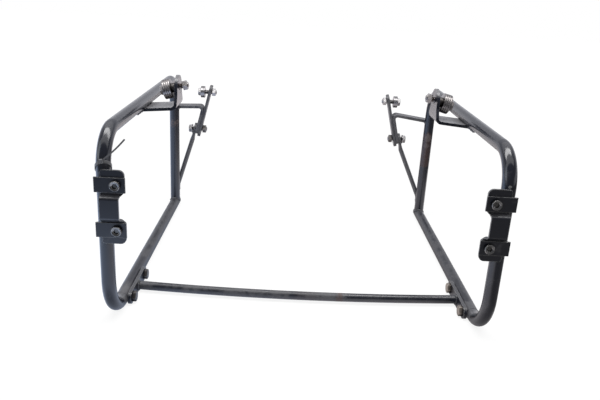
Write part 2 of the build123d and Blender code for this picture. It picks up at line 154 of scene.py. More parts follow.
def split(tree, vector):
    """The X, Y and Z of a vector."""
    return wire(tree, "ShaderNodeSeparateXYZ", {0: vector}).outputs


def own_place(tree):
    """The point's own place on the frame, in metres."""
    return wire(tree, "ShaderNodeTexCoord").outputs["Object"]


def noise(tree, place, scale, detail, roughness=0.5):
    """Cloudy noise between 0 and 1, with more clouds to the metre the larger the scale."""
    sockets = {"Vector": place, "Scale": scale, "Detail": detail, "Roughness": roughness}
    return wire(tree, "ShaderNodeTexNoise", sockets).outputs[0]


# %% Helper for groups
def new_group(name, ins, outs):
    """Start a shader node group and return it with its input and output sockets."""
    group = bpy.data.node_groups.new(name, "ShaderNodeTree")
    for label, kind, value in ins:
        socket = group.interface.new_socket(label, in_out="INPUT", socket_type=kind)
        socket.default_value = value
    for label in outs:
        group.interface.new_socket(label, in_out="OUTPUT", socket_type="NodeSocketFloat")
    inner = group.nodes.new("NodeGroupInput").outputs
    return group, inner, group.nodes.new("NodeGroupOutput").inputs


# %% [markdown]
# ## Wear, painted light and painted shade as node groups
#
# Paint, zinc and nylon all get scratched, dusty and uneven, so these effects are groups
# that each material places with its own values. They read Object coordinates, which are
# the frame's own metres because every piece sits at the origin.
#
# *Scuff* is cloudy noise cut at a threshold, *patch* is a ragged spot round a chosen point,
# and *rub* finds the sharp edges by comparing the face's normal with one that is averaged
# over a small radius.

# %% Scuff
scuff, inner, outer = new_group(
    "scuff",
    [("Scale", "NodeSocketFloat", 40.0), ("Amount", "NodeSocketFloat", 0.4)],
    ["Mask", "Fine"],
)
place = own_place(scuff)
cloud = noise(scuff, place, inner["Scale"], 7.0, 0.68)
edge = minus(scuff, 0.8, times(scuff, inner["Amount"], 0.5))
mask = step_between(scuff, cloud, edge, plus(scuff, edge, 0.16))
scuff.links.new(mask, outer["Mask"])
scuff.links.new(noise(scuff, place, 900.0, 3.0), outer["Fine"])
print("group:", scuff.name)

# %% Patch
patch, inner, outer = new_group(
    "patch",
    [
        ("Centre", "NodeSocketVector", (0, 0, 0)),
        ("Radius", "NodeSocketFloat", 0.01),
        ("Ragged", "NodeSocketFloat", 0.6),
    ],
    ["Mask"],
)
place = own_place(patch)
reach = measure(patch, "DISTANCE", place, inner["Centre"])
torn = noise(patch, place, 260.0, 5.0, 0.7)
offset = times(patch, minus(patch, torn, 0.5), inner["Ragged"])
share = plus(patch, calc(patch, "DIVIDE", reach, inner["Radius"]), times(patch, offset, 3.0))
patch.links.new(step_between(patch, share, 1.0, 0.72), outer["Mask"])
print("group:", patch.name)

# %% Rub
rub, inner, outer = new_group(
    "rub",
    [("Reach", "NodeSocketFloat", 0.0012), ("Amount", "NodeSocketFloat", 0.5)],
    ["Mask"],
)
rounded = wire(rub, "ShaderNodeBevel", {"Radius": inner["Reach"]}, samples=6).outputs[0]
flat = wire(rub, "ShaderNodeNewGeometry").outputs["Normal"]
agree = measure(rub, "DOT_PRODUCT", rounded, flat)
sharp = step_between(rub, agree, 0.985, 0.80)
worn = noise(rub, own_place(rub), 130.0, 6.0, 0.65)
kept = minus(rub, 0.75, times(rub, inner["Amount"], 0.5))
broken = step_between(rub, worn, kept, plus(rub, kept, 0.18))
rub.links.new(times(rub, sharp, broken), outer["Mask"])
print("group:", rub.name)

# %% [markdown]
# *Recess shade* is painted shade: the colour darkens where a point is closed in by its
# neighbours, in a screw's socket, at the root of a thread or between two washers. Ambient
# occlusion measures exactly that.

# %% Recess shade, painted
recess_shade, inner, outer = new_group("recess_shade", [("Reach", "NodeSocketFloat", 0.008)], ["Mask"])
# Painted shade: ambient occlusion finds the recesses, and the materials darken them towards black
closed = wire(recess_shade, "ShaderNodeAmbientOcclusion", {"Distance": inner["Reach"]}, samples=8)
recess_shade.links.new(step_between(recess_shade, closed.outputs["AO"], 0.85, 0.30), outer["Mask"])
print("group:", recess_shade.name)

# %% [markdown]
# *Top dust and light* is the dust that lies on whatever faces up, and with it a painted light
# that makes top faces lighter. It needs only the height of the face's normal, and a little
# noise so that it lies in drifts.

# %% Top dust and painted top light
top_dust_light, inner, outer = new_group("top_dust_light", [("Amount", "NodeSocketFloat", 0.15)], ["Mask"])
facing = wire(top_dust_light, "ShaderNodeNewGeometry").outputs["Normal"]
# Faces turned up get dust and painted light
level = step_between(top_dust_light, split(top_dust_light, facing)["Z"], 0.45, 0.95)
drift = noise(top_dust_light, own_place(top_dust_light), 70.0, 5.0)
dust_and_top_light = times(top_dust_light, inner["Amount"], plus(top_dust_light, drift, 0.5))
top_dust_light.links.new(times(top_dust_light, level, dust_and_top_light, clamp=True), outer["Mask"])
print("group:", top_dust_light.name)

# %% [markdown]
# ## Worn black paint
#
# The paint is almost black, with a cool tint, and half glossy. On top of it come, in this
# order, a film of dust that dulls it, settled dust and smears (the settled layer also paints
# light onto top faces), rubbed edges where grey steel shows, ragged chips of bare steel, and
# rust. Each layer is one mask that blends colour and roughness together, so a chip is bright
# and smooth while rust is brown and rough. Where hands and straps keep the paint polished,
# the film is missing and the gloss is higher.
#
# A painted-on picture would need an unwrapped map for every piece. Masks in the frame's own
# metres need none, and a smear goes on from one piece to the next.

# %% Layers and spots
def layer(tree, group, **values):
    """Place a wear group with its own values and return the node's outputs."""
    made = wire(tree, "ShaderNodeGroup", node_tree=group)
    for key, value in values.items():
        made.inputs[key].default_value = value
    return made.outputs


def new_material(name):
    """A material with an empty tree, and its output node."""
    made = bpy.data.materials.new(name)
    made.use_nodes = True
    made.node_tree.nodes.clear()
    return made, made.node_tree, wire(made.node_tree, "ShaderNodeOutputMaterial")


def spots(tree, places):
    """One mask for several ragged patches of given strengths: the strongest at each point."""
    found = 0.0
    for centre, radius, strength in places:
        ragged = layer(tree, patch, Centre=centre, Radius=radius)["Mask"]
        found = larger(tree, found, times(tree, ragged, strength))
    return found


# %% Paint
black = (0.0038, 0.0055, 0.0130, 1)
dust = (0.150, 0.148, 0.156, 1)
bare = (0.36, 0.36, 0.35, 1)
rust = (0.13, 0.052, 0.026, 1)


def bumpy(tree, height, strength, distance, rounding):
    """A normal with slightly rounded edges and a fine relief on them."""
    edge = wire(tree, "ShaderNodeBevel", {"Radius": rounding}, samples=6).outputs[0]
    sockets = {"Height": height, "Strength": strength, "Distance": distance, "Normal": edge}
    return wire(tree, "ShaderNodeBump", sockets).outputs[0]


def painted(
    name, edge_wear=0.45, dusty=0.45, film=0.25, top_dust_light_share=0.11, matt=0.18,
    chips=(), smears=(), rusty=(), polished=(),
):
    """Black paint with dust, painted light on top faces and rubbed edges. Chips, grey smears, rust
    and polished patches lie at given places, each with a radius and a strength. The roughness is
    that of the matt paint, less in polished patches, and each layer adds its share to it."""
    made, tree, output = new_material(name)
    cloud = layer(tree, scuff, Scale=36.0, Amount=dusty)
    scratch = layer(tree, scuff, Scale=150.0, Amount=0.32)
    clean = minus(tree, 1.0, spots(tree, polished))
    hazy = times(tree, cloud["Mask"], clean)
    colour = blend(tree, times(tree, hazy, film), black, dust)
    # Settled dust, which also paints top faces lighter as painted light, and smears
    dust_and_top_light = larger(tree, layer(tree, top_dust_light, Amount=top_dust_light_share)["Mask"], spots(tree, smears))
    colour = blend(tree, dust_and_top_light, colour, dust)
    steel = larger(tree, layer(tree, rub, Amount=edge_wear)["Mask"], spots(tree, chips))
    steel = larger(tree, steel, times(tree, scratch["Mask"], 0.12))
    colour = blend(tree, times(tree, steel, 0.85), colour, bare)
    brown = spots(tree, rusty)
    colour = blend(tree, brown, colour, rust)
    rough = minus(tree, matt, times(tree, minus(tree, 1.0, clean), 0.22))
    for mask, added in ((hazy, 0.18), (scratch["Fine"], 0.10), (dust_and_top_light, 0.10), (brown, 0.35)):
        rough = plus(tree, rough, times(tree, mask, added), clamp=True)
    height = minus(tree, times(tree, cloud["Fine"], 0.25), steel)
    shader = wire(tree, "ShaderNodeBsdfPrincipled", {
        "Base Color": colour,
        "Roughness": rough,
        "Metallic": times(tree, steel, 0.5),
        "Specular IOR Level": 0.7,
        "Normal": bumpy(tree, height, strength=0.35, distance=0.0002, rounding=0.0006),
    })
    tree.links.new(shader.outputs[0], output.inputs[0])
    return made


# %% [markdown]
# Where the wear lies is looked up on the real frame: rubbed bands on the front uprights,
# dusty rings on both sides of the rails' butt joints, polished rear bends, and a cross tube
# that is dull in its middle and clean towards the right. A spot is a centre, a radius and a
# strength.

# %% Where the wear lies
hands = (("right", 1), ("left", -1))
rail_z = 0.009
cross_bow = 0.20
cross_mid_y = -0.15225
band_heights = (0.166, 0.153, 0.141, 0.128, 0.117)
clean_run = (0.090, 0.125, 0.160, 0.195, 0.230)


def on_both(centre, radius, strength):
    """The same spot on the right-hand and the left-hand side."""
    x, y, z = centre
    return [((sign * x, y, z), radius, strength) for _, sign in hands]


def cross_axis(x):
    """A point on the cross tube's axis, which bows rearwards by a parabola."""
    return (x, cross_bow * x * x + cross_mid_y, rail_z)


print("bow of the cross tube:", round(cross_axis(clean_run[-1])[1] - cross_mid_y, 4), "m")

# %% Paint of the hoops and brackets
hoop_paint = painted(
    "hoop_paint",
    chips=[((0.2433, -0.2490, 0.2175), 0.0022, 1.0)],
    smears=[
        ((-0.2450, 0.2297, 0.1690), 0.0112, 0.42),
        ((0.2440, 0.2208, 0.1660), 0.0075, 0.50),
        ((0.2430, 0.2208, 0.1500), 0.0060, 0.36),
        *on_both((0.2400, -0.1900, 0.0150), 0.0140, 0.55),
    ],
    rusty=[
        ((-0.2450, 0.2297, 0.1690), 0.0115, 0.26),
        *[((0.2430, 0.2212, z), 0.0110, 0.24) for z in band_heights],
    ],
    polished=[
        ((-0.2450, -0.2350, 0.2400), 0.0340, 0.28),
        ((0.2450, -0.2350, 0.2400), 0.0360, 0.40),
        ((0.2450, -0.2450, 0.2070), 0.0260, 0.40),
    ],
)
bracket_paint = painted(
    "bracket_paint",
    edge_wear=0.5,
    dusty=0.5,
    film=0.2,
    top_dust_light_share=0.9,
    matt=0.16,
    smears=on_both((0.1950, -0.0315, 0.2960), 0.011, 0.55),
)
arm_paint = painted("arm_paint", edge_wear=0.5, dusty=0.95, film=0.52, top_dust_light_share=0.25, matt=0.20)
print("paints:", hoop_paint.name, bracket_paint.name, arm_paint.name)

# %% Paint of the lower tubes and the plates
cross_paint = painted(
    "cross_paint",
    dusty=0.8,
    film=0.42,
    matt=0.33,
    smears=[(cross_axis(0.040), 0.0170, 0.25)],
    rusty=[(cross_axis(0.059), 0.0085, 0.35), (cross_axis(0.012), 0.0200, 0.05)],
    polished=[(cross_axis(x), 0.0300, 0.75) for x in clean_run],
)
rail_paint = painted(
    "rail_paint",
    dusty=0.7,
    film=0.35,
    matt=0.32,
    smears=on_both((0.240, -0.1740, 0.0150), 0.016, 0.55),
)
plate_paint = painted("plate_paint", edge_wear=0.95, top_dust_light_share=0.4, matt=0.26)
print("paints:", cross_paint.name, rail_paint.name, plate_paint.name)

# %% [markdown]
# ## Zinc, bare steel and nylon
#
# The bolts and washers are zinc plated: a bright metal, dulled by handling. Noise moves the
# roughness and darkens the colour a little, the rims are rubbed bright and carry a painted
# highlight, painted shade is black in the corners, and the loose bolts have rust where they
# sat in a damp hole. One function makes every such metal, because they differ only in how
# much of each they have. The cable tie is moulded nylon, with fine teeth across its band.

# %% Metals
rim_wear_and_highlight = (0.62, 0.61, 0.60, 1)
recess_shade_black = (0.012, 0.011, 0.010, 1)


def metal(name, colour, roughness, dirty=0.4, recess_shade_share=0.92, rim_wear_highlight=0.25, rusty=()):
    """Plated steel with rims rubbed bright and given a painted highlight, whose shine is broken
    by dirt, by painted shade in its recesses and by rust at given places."""
    made, tree, output = new_material(name)
    cloud = layer(tree, scuff, Scale=110.0, Amount=dirty)
    dull = [0.55 * c for c in colour[:3]] + [1]
    shade = blend(tree, times(tree, cloud["Mask"], 0.7), colour, dull)
    # Rims rubbed bright, with a painted highlight on them
    worn_highlit_rims = times(tree, layer(tree, rub, Reach=0.0010, Amount=1.0)["Mask"], rim_wear_highlight)
    shade = blend(tree, worn_highlit_rims, shade, rim_wear_and_highlight)
    # Painted shade: the colour goes towards black in recesses
    shaded_recesses = times(tree, layer(tree, recess_shade)["Mask"], recess_shade_share)
    shade = blend(tree, shaded_recesses, shade, recess_shade_black)
    brown = spots(tree, rusty)
    shade = blend(tree, brown, shade, rust)
    rough = plus(tree, roughness, times(tree, cloud["Fine"], 0.16))
    rough = plus(tree, rough, times(tree, brown, 0.4), clamp=True)
    shader = wire(tree, "ShaderNodeBsdfPrincipled", {
        "Base Color": shade,
        "Roughness": rough,
        "Metallic": minus(tree, 1.0, brown) if rusty else 1.0,
        "Normal": bumpy(tree, cloud["Fine"], strength=0.15, distance=0.0001, rounding=0.0005),
    })
    tree.links.new(shader.outputs[0], output.inputs[0])
    return made


zinc = metal("zinc", (0.37, 0.36, 0.362, 1), 0.20, recess_shade_share=0.5)
screw_zinc = metal("screw_zinc", (0.22, 0.216, 0.21, 1), 0.20, dirty=0.8, recess_shade_share=0.97, rim_wear_highlight=0.9)
ear_zinc = metal(
    "ear_zinc",
    (0.30, 0.282, 0.278, 1),
    0.22,
    dirty=0.6,
    recess_shade_share=0.85,
    rusty=on_both((0.186, -0.0242, 0.2815), 0.0055, 0.35),
)
dark_steel = metal("dark_steel", (0.16, 0.15, 0.145, 1), 0.38, dirty=0.8)
flange_zinc = metal("flange_zinc", (0.42, 0.37, 0.32, 1), 0.32, dirty=0.6)
metals = (zinc, screw_zinc, ear_zinc, dark_steel, flange_zinc)
print("metals:", [m.name for m in metals])

# %% Nylon
nylon_black = (0.14, 0.14, 0.15, 1)
nylon_rubbed = (0.24, 0.24, 0.24, 1)
teeth_scale = 420.0
nylon, tree, output = new_material("nylon")
cloud = layer(tree, scuff, Scale=180.0, Amount=0.4)
colour = blend(tree, times(tree, cloud["Mask"], 0.5), nylon_black, nylon_rubbed)
rough = plus(tree, 0.38, times(tree, cloud["Fine"], 0.15))
sockets = {"Vector": own_place(tree), "Scale": teeth_scale}
teeth = wire(tree, "ShaderNodeTexWave", sockets, bands_direction="X").outputs["Fac"]
sockets = {"Height": teeth, "Strength": 0.4, "Distance": 0.0003}
bump = wire(tree, "ShaderNodeBump", sockets).outputs[0]
sockets = {"Base Color": colour, "Roughness": rough, "Normal": bump}
shader = wire(tree, "ShaderNodeBsdfPrincipled", sockets)
tree.links.new(shader.outputs[0], output.inputs[0])
print("plastic:", nylon.name)

# %% [markdown]
# ## Finishes for the CAD pieces
#
# Every piece of the CAD model gets one of these finishes by its name without its hand. Only
# the flange bolts differ from side to side: the right-hand ones are brighter. What isn't
# listed is a latch plate, a clamp strap or a flange and gets the plates' paint, or it is a
# fastener that a finer one replaces further down.

# %% Dress the CAD nodes
finish_of = {
    "main_hoop": hoop_paint,
    "top_bracket": bracket_paint,
    "cross_tube": cross_paint,
    "bottom_rail": rail_paint,
    "front_arm": arm_paint,
    "front_strap": arm_paint,
    "stay": arm_paint,
    "cable_tie": nylon,
    "rail_bushes": dark_steel,
    "left_flange_bolts": dark_steel,
    "right_flange_bolts": flange_zinc,
    "ear_spacer": dark_steel,
    "ear_nut": ear_zinc,
    "strap_upper_nut": zinc,
    "strap_lower_nut": dark_steel,
    "clamp_nuts": zinc,
}
for name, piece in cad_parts.items():
    kind = name.removeprefix("right_").removeprefix("left_")
    piece.material_slots[0].material = finish_of.get(name, finish_of.get(kind, plate_paint))
print("dressed:", len(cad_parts))

# %% [markdown]
# ## Skins from rings
#
# Every new piece here is a run of rings: one ring of points for each station along a path.
# With the rings in one array of shape (stations, points, 3) the faces follow from the
# numbering alone. Round the ring the numbering wraps, and along the path it wraps only when
# the path is a loop. An open run is closed by a fan to the middle of each end ring.

# %% Skin helpers
def skin(rings, loop=False):
    """Points, quads and triangles of a run of rings, closed at its ends."""
    count, around = rings.shape[:2]
    points = rings.reshape(-1, 3)
    grid = np.arange(count * around).reshape(count, around)
    here, ahead = (grid, np.roll(grid, -1, 0)) if loop else (grid[:-1], grid[1:])
    quads = np.stack([here, np.roll(here, -1, 1), np.roll(ahead, -1, 1), ahead], -1).reshape(-1, 4)
    if loop:
        return points, quads, np.empty((0, 3), int)
    points = np.concatenate([points, rings[0].mean(0)[None], rings[-1].mean(0)[None]])
    first = np.column_stack([np.roll(grid[0], -1), grid[0], np.full(around, count * around)])
    last = np.column_stack([grid[-1], np.roll(grid[-1], -1), np.full(around, count * around + 1)])
    return points, quads, np.concatenate([first, last])


def add_piece(name, skins, finish, crease=35.0):
    """One mesh object from several skins, smooth except at edges sharper than the crease."""
    starts = np.cumsum([0] + [len(points) for points, _, _ in skins[:-1]])
    faces = [(quads + start).tolist() for (_, quads, _), start in zip(skins, starts)]
    faces += [(fans + start).tolist() for (_, _, fans), start in zip(skins, starts)]
    mesh = bpy.data.meshes.new(name)
    mesh.from_pydata(np.concatenate([points for points, _, _ in skins]), [], sum(faces, []))
    shell = bmesh.new()
    shell.from_mesh(mesh)
    bmesh.ops.recalc_face_normals(shell, faces=shell.faces)
    shell.to_mesh(mesh)
    shell.free()
    mesh.polygons.foreach_set("use_smooth", np.ones(len(mesh.polygons), bool))
    mesh.set_sharp_from_angle(angle=radians(crease))
    mesh.materials.append(finish)
    piece = bpy.data.objects.new(name, mesh)
    scene.collection.objects.link(piece)
    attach(piece, "root")
    return piece


# %% [markdown]
# ## Weld beads
#
# A bead is a thin rope of metal along a seam, laid in overlapping drops. Its section is
# nearly round and half of it is melted into the two pieces, so a tube along the seam is
# enough. The drops are a ripple of the radius along the path, bent into a chevron by
# shifting it round the ring, and a slow wobble keeps them from looking machined.

# %% Even steps along a path
def even(path, step, loop):
    """The path with its points at equal steps along its length, and how far along each is."""
    closed = np.concatenate([path, path[:1]]) if loop else path
    along = np.concatenate([[0], np.cumsum(np.linalg.norm(np.diff(closed, axis=0), axis=1))])
    places = np.linspace(0, along[-1], max(12, round(along[-1] / step)), endpoint=not loop)
    return np.column_stack([np.interp(places, along, closed[:, k]) for k in range(3)]), places


# %% Bead helper
bead_step = 0.0004
bead_points = 12
chevron = 0.7
trough, ripple_share, wobble_share = 0.86, 0.16, 0.05
open_run = 0.05


def rings_of(angle, across, above):
    """Unit rings: cosine times the across direction plus sine times the above direction."""
    cosine, sine = np.cos(angle)[..., None], np.sin(angle)[..., None]
    return cosine * across + sine * above


def bead(path, radius, side, loop=True, drop=0.0026, seed=1):
    """A rippled tube along a path: the radius is r (trough + ripple + wobble), and side is
    any direction that the path never runs along, from which each ring's frame is taken. An
    open bead fades at its ends as a ball does."""
    path, along = even(np.asarray(path), bead_step, loop)
    if loop:
        ahead = np.roll(path, -1, 0) - np.roll(path, 1, 0)
        drop = along[-1] / max(1, round(along[-1] / drop))
    else:
        ahead = np.gradient(path, axis=0)
    ahead /= np.linalg.norm(ahead, axis=1, keepdims=True)
    across = np.cross(ahead, side)
    across /= np.linalg.norm(across, axis=1, keepdims=True)
    above = np.cross(across, ahead)
    angle = np.linspace(0, 2 * pi, bead_points, endpoint=False)
    phase = along[:, None] / drop * pi - chevron * np.cos(angle)[None, :]
    ripple = ripple_share * np.abs(np.sin(phase))
    waves = np.random.default_rng(seed).uniform(0, 2 * pi, 3)
    turns = 2 * pi * along / (along[-1] if loop else open_run)
    wobble = sum(wobble_share * np.sin(k * turns + w) for k, w in zip((2, 5, 9), waves))
    size = radius * (trough + ripple + wobble[:, None])
    if not loop:
        fade = np.minimum(along, along[-1] - along) / radius
        size = size * np.sqrt(np.clip(fade, 0.0, 1.0) * 0.98 + 0.02)[:, None]
    ring = rings_of(angle[None, :], across[:, None, :], above[:, None, :])
    return skin(path[:, None, :] + size[..., None] * ring, loop)


# %% Seams round and across the tubes
tube_r = 0.009
side_x = 0.245
front_y = 0.22975
top_z = 0.255
around = np.linspace(0, 2 * pi, 240, endpoint=False)


def squared(value, power):
    """Sine or cosine pushed towards its ends, which squares a loop's corners."""
    return np.sign(value) * np.abs(value) ** (2 / power)


def upright_loop(centre, angles, span, power=6.0, lift=0.0003):
    """A loop on an upright tube's surface: across, the angle swings about its middle, and
    along, the point swings about the middle of the span."""
    (low, high), (start, end) = np.radians(angles), span
    bend = (low + high) / 2 + (high - low) / 2 * squared(np.sin(around), power)
    along = (start + end) / 2 + (end - start) / 2 * squared(np.cos(around), power)
    (x, y), r = centre, tube_r + lift
    return np.column_stack([x + r * np.cos(bend), y + r * np.sin(bend), along])


def weave(centre, angles, span, turns):
    """A weaving path on a tube along Y: the angle swings from side to side while the point
    moves along the span, and the swing narrows to 0.4 of its width at the end."""
    share = np.linspace(0, 1, 200)
    (low, high), (start, end), (x, z) = np.radians(angles), span, centre
    swing = (high - low) / 2 * (1 - 0.6 * share)
    bend = (low + high) / 2 + swing * np.sin(2 * pi * turns * share)
    along = start + (end - start) * share
    return np.column_stack([x + tube_r * np.cos(bend), along, z + tube_r * np.sin(bend)])


# %% [markdown]
# The seams of one hand: both ends of the bracket on the top tube, where the welder wove the
# bead from side to side and ran it past the plate's end, the arm and the stay on the front
# upright, the foot of that upright on the rail, the butt joint in the rail, and the cross
# tube on its flange. The butt joint's bead is left open underneath, where it is ground away
# so that the rail stands flat. The foot's seam is a saddle: it lies above the rail's axis by
# the rail's radius times the root of sine squared, with a little added under the root to
# round off its low points. The seams are written for the right hand and mirrored for the
# left one, except at the arms, which aren't at the same height.

# %% Seams of the right hand
butt_y, butt_r = -0.18375, 0.0084
cross_end_x, cross_end_y, cross_r = 0.2313, -0.14145, 0.0065
foot_r, saddle_round = tube_r - 0.0001, 0.06
rear_run = weave((side_x, top_z), (238, 256), (-0.0455, -0.0800), turns=2.75)
front_run = weave((side_x, top_z), (238, 256), (-0.0030, 0.0110), turns=1.1)
stay_seam = upright_loop((side_x, front_y), (80, 140), (0.027, 0.052), power=2.0)
foot_seam = np.column_stack([
    side_x + foot_r * np.cos(around),
    front_y + foot_r * np.sin(around),
    rail_z + tube_r * np.sqrt(np.sin(around) ** 2 + saddle_round),
])
butt_angle = np.radians(np.linspace(-52, 232, 200))
butt_seam = np.column_stack([
    side_x + butt_r * np.cos(butt_angle),
    np.full_like(butt_angle, butt_y),
    rail_z + butt_r * np.sin(butt_angle),
])
cross_seam = np.column_stack([
    np.full_like(around, cross_end_x),
    cross_end_y + cross_r * np.cos(around),
    rail_z + cross_r * np.sin(around),
])
print("seams at the rail:", len(foot_seam), len(butt_seam), len(cross_seam), "points")

# %% Lay the beads
seams = {
    "bracket_rear_weld": (rear_run, 0.0025, (0.39, 0, 0.92), False),
    "bracket_front_weld": (front_run, 0.0025, (0.39, 0, 0.92), False),
    "stay_weld": (stay_seam, 0.0020, (-0.3, 1, 0), True),
    "foot_weld": (foot_seam, 0.0017, (0, 0, 1), True),
    "butt_weld": (butt_seam, 0.0010, (0, 1, 0), False),
    "cross_weld": (cross_seam, 0.0019, (1, 0, 0), True),
}
arm_root_z = {"right": 0.1949, "left": 0.1980}
arm_half = 0.0029
weld_paint = painted("weld_paint", edge_wear=0.35, dusty=0.8, film=0.35)
for hand, sign in hands:
    mirror = np.array([sign, 1, 1])
    arm_span = (arm_root_z[hand] - arm_half, arm_root_z[hand] + arm_half)
    arm_seam = upright_loop((side_x, front_y), (86, 146), arm_span)
    own_seams = seams | {"arm_weld": (arm_seam, 0.0018, (-0.4, 1, 0), True)}
    for number, (name, (seam, radius, side, loop)) in enumerate(own_seams.items()):
        seed = 10 * number + 1 + sign
        rope = bead(seam * mirror, radius, np.array(side) * mirror, loop, seed=seed)
        add_piece(f"{hand}_{name}", [rope], weld_paint, crease=80.0)
print("weld beads:", 2 * len(own_seams))

# %% [markdown]
# ## Bolts with real threads
#
# A bolt is one surface of two parameters, the angle and the station along its axis. At each
# station a profile gives the radius. In the head a hexagon cuts that radius, which leaves
# the turned corners where the profile is smaller. In the shank the radius falls and rises
# with the fractional part of station over pitch minus angle over a full turn, and that is
# a thread. The socket screws use the same function, with a knurl on the head and a hexagon
# socket.

# %% Bolt helper
pitch = 0.00125
thread_depth = 0.00055
thread_r = 0.004
shank_end, thread_end, tip_edge = 0.0008, 0.0005, 0.0002
tip_radii = (0.0034, 0.0031)
cap_r = 0.0065
knurls = 32


def bolt(seat, along, across, profile, length, points=36, knurl=0.0):
    """Skin of a bolt. profile rows are station, radius and hexagon across flats (0 for none);
    the threaded shank from station 0 to length is added to them. The radius is the smaller
    of the profile's and the hexagon's, less the thread's groove and the cap's knurl."""
    profile = np.array(profile)
    angle = np.linspace(0, 2 * pi, points, endpoint=False)
    shank = np.arange(0.0, length - shank_end, pitch / 8)
    station = np.concatenate([profile[:, 0], shank, [length - tip_edge, length]])
    radius = np.concatenate([profile[:, 1], np.full(len(shank), thread_r), tip_radii])
    flats = np.concatenate([profile[:, 2], np.zeros(len(shank) + len(tip_radii))])
    hexagon = flats[:, None] / 2 / np.cos(angle % (pi / 3) - pi / 6)[None, :]
    size = np.where(flats[:, None] > 0, np.minimum(radius[:, None], hexagon), radius[:, None])
    turns = station[:, None] / pitch - angle[None, :] / (2 * pi)
    groove = thread_depth * np.abs(2 * (turns % 1.0) - 1)
    threaded = (station > 0.0) & (station < length - thread_end)
    size = size - np.where(threaded[:, None], groove, 0.0)
    ridged = np.abs(radius - cap_r) < 1e-6
    ridges = knurl * (0.5 + 0.5 * np.cos(knurls * angle))
    size = size - np.where(ridged[:, None], ridges[None, :], 0.0)
    ring = rings_of(angle, np.asarray(across), np.cross(along, across))
    return skin(seat + station[:, None, None] * np.asarray(along) + size[..., None] * ring)


hexagon_head = [
    (-0.0053, 0.0030, 0), (-0.0053, 0.0062, 0),
    (-0.0048, 0.0071, 0.013), (-0.0044, 0.0076, 0.013),
    (-0.0001, 0.0076, 0.013), (0.0, 0.0074, 0.013), (0.0, 0.0042, 0),
]
socket_head = [
    (-0.0020, 0.0010, 0), (-0.0020, 0.0036, 0.006), (-0.0038, 0.0036, 0.006),
    (-0.0049, 0.0051, 0), (-0.0050, 0.0056, 0), (-0.0045, 0.0063, 0),
    (-0.0041, cap_r, 0), (-0.0008, cap_r, 0),
    (-0.0002, 0.0063, 0), (0.0, 0.0060, 0), (0.0, 0.0042, 0),
]
print("head profiles:", len(hexagon_head), "and", len(socket_head), "stations")

# %% Where the CAD bolts are
head_h = 0.0053
cap_h = 0.0050


def cad_points(node):
    """All points of a CAD node as an array."""
    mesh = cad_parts[node].data
    flat = np.empty(3 * len(mesh.vertices), np.float32)
    mesh.vertices.foreach_get("co", flat)
    return flat.reshape(-1, 3).astype(float)


def bolt_seat(points, along, across, head):
    """The point under a bolt's head and the length of its shank, from its CAD points: their
    reach along the axis gives the ends, and the middle of their reach across it the axis."""
    axes = np.array([along, across, np.cross(along, across)], float)
    reach = points @ axes.T
    low, high = reach.min(0), reach.max(0)
    middle = (low + high) / 2
    return np.array([low[0] + head, *middle[1:]]) @ axes, high[0] - low[0] - head


# %% Loose bolts of the ears and straps
droop = radians(15.0)
loose = {
    "ear_bolt": ((-np.cos(droop), 0, np.sin(droop)), ear_zinc),
    "strap_upper_bolt": ((-1, 0, 0), zinc),
    "strap_lower_bolt": ((-1, 0, 0), zinc),
}
for hand, sign in hands:
    for kind, (along, finish) in loose.items():
        along = np.array(along) * (sign, 1, 1)
        seat, length = bolt_seat(cad_points(f"{hand}_{kind}"), along, (0, 1, 0), head_h)
        shape = bolt(seat, along, (0, 1, 0), hexagon_head, length)
        made = add_piece(f"{hand}_{kind}_cut", [shape], finish)
        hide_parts(f"{hand}_{kind}")
        print(made.name, "shank", round(1000 * length, 2), "mm")

# %% Socket screws of the clamps
knurl_depth = 0.00022
screw_points = 3 * knurls
screw_axes = (0, 1, 0), (1, 0, 0)
for hand, _ in hands:
    points = cad_points(f"{hand}_clamp_screws")
    upper = points[:, 2] > points[:, 2].mean()
    skins = []
    for one in (points[upper], points[~upper]):
        seat, length = bolt_seat(one, *screw_axes, cap_h)
        skins.append(bolt(seat, *screw_axes, socket_head, length, screw_points, knurl_depth))
    made = add_piece(f"{hand}_clamp_screws_cut", skins, screw_zinc)
    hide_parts(f"{hand}_clamp_screws")
    print(made.name, "shank", round(1000 * length, 2), "mm")

# %% [markdown]
# ## Washers with rounded rims
#
# Stacked washers show as separate pieces only because their rims are rounded. Each one is a
# rounded rectangle turned about the bolt: its four corners are quarter circles, one after the
# other, and the run of rings closes on itself. Where the washers lie is read from the CAD
# points, whose stations along the axis fall into groups, two for each washer.

# %% Washer helper
rim_r = 0.0006
rim_steps = 5
washer_points = 64
same_station = 2e-5


def washer(seat, along, across, inside, outside, thick):
    """Skin of a flat ring with rounded rims, from its seat along the axis. Each corner of its
    section is a quarter circle, and the four follow one another round the section."""
    near, far = rim_r, thick - rim_r
    hole, wide = inside + rim_r, outside - rim_r
    corners = np.array([(far, wide), (near, wide), (near, hole), (far, hole)])
    swept = np.linspace(0, pi / 2, rim_steps) + np.arange(4)[:, None] * pi / 2
    arcs = rim_r * np.stack([np.cos(swept), np.sin(swept)], -1)
    station, radius = (corners[:, None, :] + arcs).reshape(-1, 2).T[..., None, None]
    angle = np.linspace(0, 2 * pi, washer_points, endpoint=False)
    ring = rings_of(angle, np.asarray(across), np.cross(along, across))
    return skin(seat + station * np.asarray(along) + radius * ring, loop=True)


